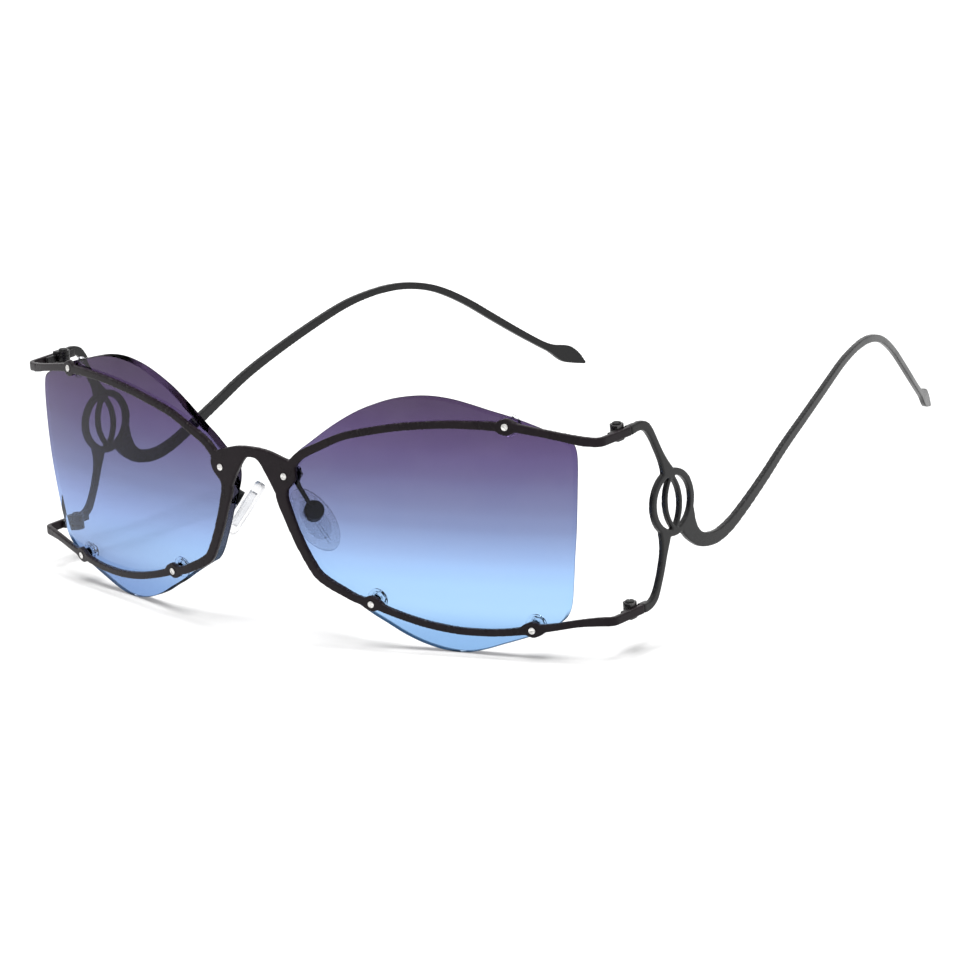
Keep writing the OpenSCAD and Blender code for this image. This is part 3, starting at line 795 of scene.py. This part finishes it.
@dataclass(frozen=True)
class LensEdge:
    """Ground rim of a lens, with painted shade: dark towards the nose and underneath, clear
    elsewhere.

    Nasal, below and level are shares of the normal at which a dark part starts and is full, and
    rise is the share of the lens height over which its colour goes from foot to brow.
    """

    name: str
    face: FadingTint
    nasal: Range = (0.25, 0.5)
    below: Range = (0.3, 0.6)
    level: Range = (0.3, 0.7)
    rise: Range = (0.1, 0.35)
    # Colours of the painted shade on the rim, from its foot to its brow
    foot: RGB = (0.005, 0.019, 0.035)
    brow: RGB = (0.06, 0.04, 0.03)
    back_radius: float = 184.15 * MM
    # A painted dark outline along the rim's back edge: painted shade
    painted_outline_width: float = 0.6 * MM
    painted_outline: RGB = (0.05, 0.05, 0.06)
    ior: float = 1.01
    rough: Range = (0.1, 0.2)
    tooth: float = 0.1 * MM
    mottle: float = 1 * MM
    shade: RGB = (0.25, 0.25, 0.26)

    def painted_shade_parts(self, sheet: Sheet, within: Socket, outside: Socket) -> Socket:
        """Wires the mask of the painted shade on the rim.

        Args:
            sheet: The material's sheet.
            within: 1 where the rim is seen from inside the glass.
            outside: 1 where it is seen from outside.

        Returns:
            The mask.
        """
        normal = sheet.node("SeparateXYZ", {0: sheet.node("NewGeometry").outputs["Normal"]})
        x, _, z = normal.outputs
        side = sheet.math("SIGN", sheet.axis(sheet.spot(), 0))
        to_nose = sheet.math("MULTIPLY", sheet.math("MULTIPLY", x, side), -1.0)
        down = sheet.math("MULTIPLY", z, -1.0)
        nasal = sheet.math("MULTIPLY", sheet.span(to_nose, self.nasal), outside)
        below = sheet.math("MULTIPLY", sheet.span(down, self.below), outside)
        level = sheet.span(sheet.math("ABSOLUTE", z), self.level)
        level = sheet.math("MULTIPLY", level, within)
        return sheet.math("ADD", sheet.math("ADD", nasal, level), below, clamp=True)

    def material(self) -> Material:
        """Builds the finish.

        Returns:
            The material.
        """
        coat = Coat(self.name)
        share, tint = self.face.tint(coat)
        within = coat.node("NewGeometry").outputs["Backfacing"]
        outside = coat.math("SUBTRACT", 1.0, within)
        # Painted shade: the rim darkened towards the nose, underneath and where it is seen from
        # inside the glass
        depth = coat.blend(coat.span(share, self.rise), solid(self.foot), solid(self.brow))
        dark = coat.blend(self.painted_shade_parts(coat, within, outside), WHITE, depth)
        # Painted shade: a dark outline along the rim next to the back face
        radius = coat.node("VectorMath", {0: coat.spot(), 1: BALL_MIDDLE}, operation="DISTANCE")
        near = (self.back_radius, self.back_radius + self.painted_outline_width)
        painted_outline = coat.span(radius.outputs["Value"], near, (1.0, 0.0))
        painted_outline = coat.math("MULTIPLY", painted_outline, outside)
        dark = coat.times(dark, coat.blend(painted_outline, WHITE, solid(self.painted_outline)))
        grain = Grain().place(coat, Tooth_Size=self.tooth, Mottle_Size=self.mottle)
        rough = coat.ease(grain.outputs["Mottle"], self.rough)
        coat.give(Base_Color=coat.times(tint, dark), Roughness=rough)
        coat.make_glass(self.ior, solid(self.shade))
        return coat.material


@dataclass(frozen=True)
class ClearSolid:
    """A clear moulded solid, such as silicone or hard plastic."""

    name: str
    colour: RGB
    rough: Range
    ior: float
    deep: float = 0.96
    tooth: float = 0.2 * MM
    mottle: float = 2 * MM
    speck: float = 0.5 * MM
    dusty: float = 0.1
    relief: float = 0.004 * MM
    relief_share: float = 0.3

    def material(self) -> Material:
        """Builds the finish.

        Returns:
            The material.
        """
        coat = Coat(self.name)
        grain = Grain().place(coat, Tooth_Size=self.tooth, Mottle_Size=self.mottle)
        mottle = grain.outputs["Mottle"]
        dust = Dust().place(coat, Speck_Size=self.speck, Amount=self.dusty).outputs["Mask"]
        base = coat.blend(mottle, solid(self.colour, self.deep), solid(self.colour))
        rough = coat.math("ADD", coat.ease(mottle, self.rough), dust)
        coat.give(Base_Color=base, Roughness=rough)
        coat.raise_tooth(grain, self.relief_share, self.relief)
        coat.make_glass(self.ior, base)
        return coat.material


@dataclass(frozen=True)
class FloorWhite:
    """Matt white floor that reads as pure white and keeps the lamps' shadows."""

    name: str = "floor_white"
    colour: RGB = (0.8, 0.8, 0.8)

    def material(self) -> Material:
        """Builds the finish.

        Returns:
            The material.
        """
        coat = Coat(self.name)
        coat.give(Base_Color=solid(self.colour), Roughness=1.0, Specular_IOR_Level=0.0)
        return coat.material


@dataclass(frozen=True)
class Finishes:
    """Every finish of the sunglasses, built once."""

    front: Material
    temple: Material
    hinge: Material
    pad_metal: Material
    sleeve: Material
    steel: Material
    dark_steel: Material
    lens: Material
    lens_edge: Material
    clear: Material
    silicone: Material
    core: Material

    @staticmethod
    def build() -> "Finishes":
        """Builds all the materials.

        Returns:
            The set of finishes.
        """
        plum = (0.012, 0.0078, 0.0105)
        soot = (0.011, 0.011, 0.0115)
        pitch = (0.008, 0.007, 0.008)
        ink = (0.004, 0.005, 0.006)
        coal = (0.004, 0.005, 0.007)
        gunmetal = (0.07, 0.07, 0.07)
        tint = FadingTint(
            "lens_tint",
            foot_z=0.0,
            brow_z=49.2 * MM,
            stops=(
                # The two lowest stops are darker than the dye above them: painted shade for the
                # floor's shadow seen through the lens
                (0.0, (0.235, 0.422, 0.7)),
                (0.09, (0.255, 0.44, 0.715)),
                (0.16, (0.33, 0.53, 0.79)),
                (0.22, (0.335, 0.535, 0.795)),
                (0.29, (0.32, 0.505, 0.785)),
                (0.37, (0.28, 0.41, 0.675)),
                (0.48, (0.201, 0.262, 0.455)),
                (0.56, (0.164, 0.19, 0.345)),
                (0.68, (0.124, 0.118, 0.24)),
                (0.80, (0.095, 0.07, 0.168)),
                (1.0, (0.062, 0.04, 0.085)),
            ),
        )
        kinds = {
            "front": Enamel("front_enamel", plum, (0.27, 0.34), ior=1.22, wear=0.1),
            "temple": Enamel("temple_enamel", soot, (0.25, 0.32), ior=1.34, wear=0.1),
            "hinge": Enamel("hinge_enamel", pitch, (0.22, 0.29), ior=1.32),
            "pad_metal": Enamel("pad_black", ink, (0.27, 0.34), ior=1.2, wear=0.1),
            "sleeve": Enamel("sleeve_black", coal, (0.27, 0.34), ior=1.2, wear=0.0),
            "steel": TurnedSteel("turned_steel"),
            "dark_steel": TurnedSteel("dark_steel", gunmetal, (0.5, 0.34)),
            "lens": tint,
            "lens_edge": LensEdge("lens_edge", tint),
            "clear": ClearSolid("clear_plastic", (0.95, 0.96, 0.98), (0.02, 0.07), ior=1.16),
            "silicone": ClearSolid("clear_silicone", (0.8, 0.8, 0.81), (0.2, 0.25), ior=1.13),
            "core": ClearSolid("core_plastic", (0.84, 0.85, 0.87), (0.1, 0.15), ior=1.08),
        }
        return Finishes(**{name: kind.material() for name, kind in kinds.items()})


# Sub-assemblies


@dataclass
class Assembly:
    """A group of pieces that are dressed and attached to their bodies together."""

    finishes: Finishes

    def hand_over(
        self, piece: Object, finish: Material, slot: Slot, body: Body, *nodes: str
    ) -> None:
        """Gives a finished piece its material and body, and hides the CAD nodes that it replaces.

        Args:
            piece: The finished object.
            finish: Its material.
            slot: The record's slot that the finish belongs to; not used.
            body: The body it rides on.
            nodes: CAD nodes that it replaces.
        """
        piece.data.materials.clear()
        piece.data.materials.append(finish)
        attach(piece, body.value)
        if nodes:
            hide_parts(*nodes)
        log.info("%s: %d faces on %s", piece.name, len(piece.data.polygons), body.value)


@dataclass
class Front(Assembly):
    """The stamped front with its bridge, bars, lugs and folded end pieces."""

    grain: float = 0.16 * MM
    passes: int = 7

    def build(self) -> None:
        """Dresses the front, its cut edges rounded."""
        piece = node_copy("front_frame", "stamped_front")
        tumble(piece, self.grain, self.passes)
        self.hand_over(piece, self.finishes.front, Slot.FRONT, Body.FRONT, "front_frame")


@dataclass
class Temples(Assembly):
    """The two temples, stamped flat and bowed."""

    grain: float = 0.16 * MM
    passes: int = 7

    def build(self) -> None:
        """Dresses both temples, their cut edges rounded."""
        for side in Side:
            node = f"temple_{side.value}"
            piece = node_copy(node, f"stamped_temple_{side.value}")
            tumble(piece, self.grain, self.passes)
            self.hand_over(piece, self.finishes.temple, Slot.TEMPLE, Body.arm(side), node)


@dataclass
class Lenses(Assembly):
    """The two lenses, with their rims and bores chamfered."""

    chamfer: float = 0.12 * MM
    front_radius: float = 185.95 * MM
    back_radius: float = 184.15 * MM
    face_share: float = 0.8
    smoothed: float = 30.0
    weight: int = 90

    @staticmethod
    def outward(face: bpy.types.MeshPolygon) -> float:
        """How far a face looks away from the ball's middle, from -1 to 1."""
        return face.normal.dot((face.center - BALL_MIDDLE).normalized())

    def cut_chamfer(self, piece: Object, radius: float, way: int) -> None:
        """Cuts a chamfer round one face and its bores: sinks it, insets it, lifts it back.

        Args:
            piece: The lens.
            radius: The face's radius.
            way: 1 for the face on the ball's outside, -1 for the inside.
        """
        edit_all(piece)
        select(piece, "FACE", lambda f: self.outward(f) * way > self.face_share)
        sunk = 1 - way * self.chamfer / radius
        bpy.ops.transform.resize(value=[sunk] * 3, center_override=BALL_MIDDLE)
        bpy.ops.mesh.inset(thickness=self.chamfer, use_even_offset=False)
        bpy.ops.transform.resize(value=[1 / sunk] * 3, center_override=BALL_MIDDLE)
        leave_edit()

    def grind_and_shade_edges(self, piece: Object) -> None:
        """Gives the rim, the bores and their chamfers the ground finish with its painted shade.

        Args:
            piece: The lens, with the finish of its faces.
        """
        piece.data.materials.append(self.finishes.lens_edge)
        edit_all(piece)
        select(piece, "FACE", lambda f: abs(self.outward(f)) < FACING)
        piece.active_material_index = 1
        bpy.ops.object.material_slot_assign()
        leave_edit()

    def build(self) -> None:
        """Dresses both lenses."""
        for side in Side:
            node = f"lens_{side.value}"
            piece = node_copy(node, f"tinted_lens_{side.value}")
            self.cut_chamfer(piece, self.front_radius, 1)
            self.cut_chamfer(piece, self.back_radius, -1)
            smooth(piece, self.smoothed)
            modify(piece, "WEIGHTED_NORMAL", keep_sharp=True, weight=self.weight)
            self.hand_over(piece, self.finishes.lens, Slot.LENS, Body.FRONT, node)
            self.grind_and_shade_edges(piece)


@dataclass
class LensFasteners(Assembly):
    """The eight screws, sleeves, washers and cap nuts that hold the lenses."""

    screw: SlottedScrew = SlottedScrew(
        "lens_screw",
        shank_l=4.0 * MM,
        head_r=0.68 * MM,
        head_h=0.32 * MM,
        rim_h=0.12 * MM,
        seat_r=0.6596 * MM,
        seat_h=0.03 * MM,
        turns=(20, 40, 60, 78),
        slot_d=0.15 * MM,
    )
    first_turn: float = 35.0
    turn_step: float = 47.0
    nut_r: float = 1.5 * MM
    nut_bar_sides: int = 48
    nut_side_h: float = 0.6 * MM
    nut_sides: int = 6
    nut_dome_r: float = 1.1 * MM
    nut_collar_h: float = 0.12 * MM
    nut_turns: tuple[int, ...] = (25, 45, 65, 80)
    nut_h: float = 1.2 * MM
    nut_edge: float = 0.05 * MM
    nut_turn_step: float = 20.0
    ring_edge: float = 0.08 * MM
    smoothed: float = 30.0

    def cap_nut(self) -> Object:
        """Models a six-sided cap nut; its seat is at z = 0 and its dome points to +Z.

        Returns:
            The nut, round the origin.
        """
        piece = turned_bar("cap_nut", self.nut_r, self.nut_side_h, self.nut_bar_sides)
        steps = [(self.nut_dome_r, 0.0), (self.nut_dome_r, self.nut_collar_h)]
        top = self.nut_h - self.nut_side_h
        steps += dome(self.nut_dome_r, self.nut_collar_h, top, self.nut_turns, flat=0.0)
        turn_profile(piece, steps)
        flat = self.nut_r * math.cos(math.pi / self.nut_sides)
        for k in range(self.nut_sides):
            angle = 2 * math.pi * k / self.nut_sides
            way = Vector((math.cos(angle), math.sin(angle), 0))
            edit_all(piece)
            bpy.ops.mesh.bisect(
                plane_co=way * flat, plane_no=way, use_fill=True, clear_outer=True
            )
            leave_edit()
        round_edges(piece, self.nut_edge, segments=2, sharper=40)
        piece.data.transform(Matrix.Translation((0, 0, self.nut_side_h)))
        return piece

    def seat_at(self, spot: Vector, depth: float, turn: float) -> Matrix:
        """Place on the front behind a screw, with +Z out towards the viewer.

        Args:
            spot: A point on the screw's axis.
            depth: Depth behind the front's face.
            turn: Turn about the axis in degrees.

        Returns:
            The place.
        """
        out = (spot - BALL_MIDDLE).normalized()
        across = Vector((0, 0, 1)).cross(out).normalized()
        up = out.cross(across)
        place = Matrix((across, up, out)).transposed().to_4x4()
        place.translation = BALL_MIDDLE + out * (BALL_RADIUS - depth)
        return place @ Matrix.Rotation(math.radians(turn), 4, "Z")

    def depths_of(self, node: str, spot: Vector) -> list[float]:
        """Depths behind the front's face of the vertices of one solid of a node."""
        return [BALL_RADIUS - (p - BALL_MIDDLE).length for p in points_near(node, spot)]

    def place_screws(self) -> None:
        """Models the screws, each as long as its CAD solid."""
        screw = self.screw
        first = screw.model()
        for k, spot in enumerate(part_places("lens_screws")):
            end = max(self.depths_of("lens_screws", spot))
            piece = copy_of(first, f"lens_screw_{k + 1}")
            edit_all(piece)
            select(piece, "VERT", lambda v: v.co.z < -screw.shank_l / 2)
            bpy.ops.transform.translate(value=(0, 0, screw.shank_l - end))
            leave_edit()
            put(piece, self.seat_at(spot, 0.0, self.first_turn + self.turn_step * k))
            smooth(piece, self.smoothed)
            self.hand_over(piece, self.finishes.steel, Slot.STEEL, Body.FRONT, "lens_screws")
        bpy.data.objects.remove(first)

    def place_nuts(self) -> None:
        """Models the cap nuts behind the washers."""
        nut = self.cap_nut()
        flip = Matrix.Rotation(math.pi, 4, "X")
        for k, spot in enumerate(part_places("lens_nuts")):
            start = min(self.depths_of("lens_nuts", spot))
            piece = copy_of(nut, f"cap_nut_{k + 1}")
            put(piece, self.seat_at(spot, start, self.nut_turn_step * k) @ flip)
            smooth(piece, self.smoothed)
            self.hand_over(piece, self.finishes.clear, Slot.CLEAR, Body.FRONT, "lens_nuts")
        bpy.data.objects.remove(nut)

    def build(self) -> None:
        """Models the screws and nuts, and dresses the rings on them."""
        self.place_screws()
        self.place_nuts()
        for node, name, finish, slot in (
            ("lens_washers", "clear_washers", self.finishes.clear, Slot.CLEAR),
            ("lens_bushes", "black_sleeves", self.finishes.sleeve, Slot.SLEEVE),
        ):
            piece = node_copy(node, name)
            round_edges(piece, self.ring_edge)
            smooth(piece)
            self.hand_over(piece, finish, slot, Body.FRONT, node)


@dataclass
class Hinges(Assembly):
    """The hinge leaves on the front and on the temples, and their screws."""

    merge: float = 0.01 * MM
    edge: float = 0.1 * MM
    screw: SlottedScrew = SlottedScrew(
        "hinge_screw",
        shank_l=3.02 * MM,
        head_r=0.85 * MM,
        head_h=0.35 * MM,
        rim_h=0.1925 * MM,
        seat_r=0.799 * MM,
        seat_h=0.05 * MM,
        turns=(25, 50, 75),
        slot_d=0.16 * MM,
        flat=0.55,
    )
    first_turn: float = 30.0
    turn_step: float = 50.0
    smoothed: float = 30.0

    def build(self) -> None:
        """Dresses the leaves and puts the screws in their places."""
        for side in Side:
            for level in ("upper", "lower"):
                for part, body in (("front", Body.FRONT), ("temple", Body.arm(side))):
                    node = f"{part}_hinge_{level}_{side.value}"
                    piece = node_copy(node, f"{part}_leaf_{level}_{side.value}", self.merge)
                    round_edges(piece, self.edge)
                    smooth(piece)
                    self.hand_over(piece, self.finishes.hinge, Slot.HINGE, body, node)
        first = self.screw.model()
        for k, spot in enumerate(part_places("hinge_screws")):
            top = max(p.z for p in points_near("hinge_screws", spot))
            piece = copy_of(first, f"hinge_screw_{k + 1}")
            turn = math.radians(self.first_turn + self.turn_step * k)
            seat = Matrix.Translation((spot.x, spot.y, top - self.screw.head_h))
            put(piece, seat @ Matrix.Rotation(turn, 4, "Z"))
            smooth(piece, self.smoothed)
            finish = self.finishes.dark_steel
            self.hand_over(piece, finish, Slot.STEEL, Body.FRONT, "hinge_screws")
        bpy.data.objects.remove(first)


@dataclass
class NosePads(Assembly):
    """The wire arms, cups, cross screws, cores and silicone pads."""

    length: float = 13.8 * MM
    width: float = 7.2 * MM
    thickness: float = 2.2 * MM
    sides: int = 64
    row_digits: int = 7
    taper: float = 0.12
    middle: Point = (9.0 * MM, -71.422 * MM, 21.966 * MM)
    lean: float = 41.0
    turn: float = 62.0
    rim: float = 0.7 * MM
    rim_room: float = 1.15
    dish: tuple[Range, ...] = ((0.5 * MM, 0.0), (0.8 * MM, -0.02 * MM))
    merge: float = 0.01 * MM
    weld_grain: float = 0.07 * MM
    weld_passes: int = 4
    screw_edge: float = 0.06 * MM
    smoothed: float = 40.0

    def place(self, side: Side) -> Matrix:
        """Place of a pad, with its length along Z and its cup's side facing -Y.

        Args:
            side: The wearer's side.

        Returns:
            The place.
        """
        place = (
            Matrix.Translation(self.middle)
            @ Matrix.Rotation(math.radians(-self.lean), 4, "Y")
            @ Matrix.Rotation(math.radians(self.turn), 4, "Z")
        )
        return place if side is Side.LEFT else Matrix.Diagonal((-1, 1, 1, 1)) @ place

    def pad(self) -> Object:
        """Models a soft pad: an egg-shaped plate with a round rim and dished faces.

        Returns:
            The pad, round the origin, with its faces towards +Y and -Y.
        """
        deselect()
        bpy.ops.mesh.primitive_cylinder_add(vertices=self.sides, depth=self.thickness)
        piece = bpy.context.object
        piece.name = piece.data.name = "soft_pad"
        edit_all(piece)
        bpy.ops.transform.resize(value=(self.width / 2, self.length / 2, 1))
        rows = sorted({round(v.co.y, self.row_digits) for v in piece.data.vertices})
        for row in rows:
            select(piece, "VERT", lambda v: abs(v.co.y - row) < SAME)
            share = 1 - self.taper * row / (self.length / 2)
            bpy.ops.transform.resize(value=(share, 1, 1), center_override=(0, row, 0))
        for way in (1, -1):
            select(piece, "FACE", lambda f: f.normal.z * way > FACING)
            bpy.ops.mesh.inset(thickness=self.rim * self.rim_room)
            for inset, rise in self.dish:
                bpy.ops.mesh.inset(thickness=inset)
                bpy.ops.transform.translate(value=(0, 0, rise * way))
        leave_edit()
        round_edges(piece, self.rim, segments=6, sharper=60)
        piece.data.transform(Matrix.Rotation(math.radians(90), 4, "X"))
        return piece

    def dress_carrier(self, name: str) -> None:
        """Dresses the wire arm, the cup and the cross screw of one pad.

        Args:
            name: The side's name.
        """
        for node, new in (("pad_arm", "wire_arm"), ("pad_box", "pad_cup")):
            piece = node_copy(f"{node}_{name}", f"{new}_{name}")
            tumble(piece, self.weld_grain, self.weld_passes)
            finish = self.finishes.pad_metal
            self.hand_over(piece, finish, Slot.PAD_METAL, Body.FRONT, f"{node}_{name}")
        screw = node_copy(f"pad_screw_{name}", f"pad_cross_screw_{name}", self.merge)
        round_edges(screw, self.screw_edge)
        smooth(screw)
        self.hand_over(screw, self.finishes.steel, Slot.STEEL, Body.FRONT, f"pad_screw_{name}")

    def build(self) -> None:
        """Models the pads and dresses what carries them."""
        pad = self.pad()
        for side in Side:
            name, body = side.value, Body.pad(side)
            soft = copy_of(pad, f"silicone_pad_{name}")
            put(soft, self.place(side))
            smooth(soft, self.smoothed)
            self.hand_over(soft, self.finishes.silicone, Slot.SILICONE, body, f"nose_pad_{name}")
            core = node_copy(f"pad_insert_{name}", f"pad_core_{name}", self.merge)
            smooth(core, self.smoothed)
            self.hand_over(core, self.finishes.core, Slot.CORE, body, f"pad_insert_{name}")
            self.dress_carrier(name)
        bpy.data.objects.remove(pad)


@dataclass
class Studio:
    """Floor, sky, lamps and camera."""

    floor_size: float = 6.0
    sky_light: float = 0.31
    aim: Point = (0.0, -0.04, 0.02)
    top_watts: float = 140.0
    top_size: Range = (2.3, 2.3)
    top_place: Point = (0.0, 0.0, 3.0)
    rim_watts: float = 4.0
    rim_size: Range = (1.2, 0.35)
    rim_place: Point = (-0.75, 0.95, 0.5)
    camera_place: Point = (0.62407, -0.73906, 0.27749)
    camera_right: Point = (0.7701, 0.63314, -0.07796)
    camera_up: Point = (-0.11149, 0.25391, 0.96078)
    focal_mm: float = 186.771
    sensor_mm: float = 36.0
    clip_start: float = 0.01

    def floor(self) -> None:
        """Lays the floor under the lenses."""
        deselect()
        bpy.ops.mesh.primitive_plane_add(size=self.floor_size)
        plane = bpy.context.object
        plane.name = plane.data.name = "floor"
        plane.data.materials.append(FloorWhite().material())

    def sky(self) -> None:
        """White all round, at a plain level for the light that it gives."""
        world = bpy.data.worlds.new("white_sky")
        world.use_nodes = True
        world.node_tree.nodes.clear()
        sheet = Sheet(world.node_tree)
        diffuse = sheet.node("LightPath").outputs["Is Diffuse Ray"]
        strength = sheet.ease(diffuse, (1.0, self.sky_light))
        glow = sheet.node("Background", {"Color": WHITE, "Strength": strength})
        sheet.node("OutputWorld", {"Surface": glow.outputs[0]})
        bpy.context.scene.world = world

    def lamp(self, name: str, place: Point, size: Range, watts: float) -> None:
        """Hangs one soft rectangular lamp that faces the sunglasses.

        Args:
            name: The lamp's name.
            place: Where it hangs.
            size: Width and height.
            watts: Power.
        """
        light = bpy.data.lights.new(name, "AREA")
        light.shape = "RECTANGLE"
        light.size, light.size_y = size
        light.energy = watts
        lamp = bpy.data.objects.new(name, light)
        lamp.location = place
        lamp.visible_glossy = False
        way = Vector(self.aim) - Vector(place)
        lamp.rotation_euler = way.to_track_quat("-Z", "Y").to_euler()
        bpy.context.scene.collection.objects.link(lamp)

    def camera(self) -> None:
        """Sets the camera where the photograph was taken from."""
        data = bpy.data.cameras.new("camera")
        data.lens = self.focal_mm
        data.sensor_width = self.sensor_mm
        data.clip_start = self.clip_start
        right, up = Vector(self.camera_right), Vector(self.camera_up)
        turn = Matrix((right, up, right.cross(up).normalized())).transposed().to_4x4()
        turn.translation = self.camera_place
        camera = bpy.data.objects.new("camera", data)
        camera.matrix_world = turn
        bpy.context.scene.collection.objects.link(camera)
        bpy.context.scene.camera = camera

    def build(self) -> None:
        """Sets up the whole studio."""
        self.floor()
        self.sky()
        self.lamp("top_softbox", self.top_place, self.top_size, self.top_watts)
        self.lamp("rim_softbox", self.rim_place, self.rim_size, self.rim_watts)
        self.camera()
        bpy.context.scene.view_settings.view_transform = "Standard"


def main() -> None:
    """Builds the sunglasses, then the studio."""
    logging.basicConfig(level=logging.INFO, format="%(name)s %(message)s")
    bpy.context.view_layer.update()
    finishes = Finishes.build()
    for part in (Front, Lenses, LensFasteners, Temples, Hinges, NosePads):
        log.info("building %s", part.__name__)
        part(finishes).build()
    Studio().build()


if __name__ == "__main__":
    main()
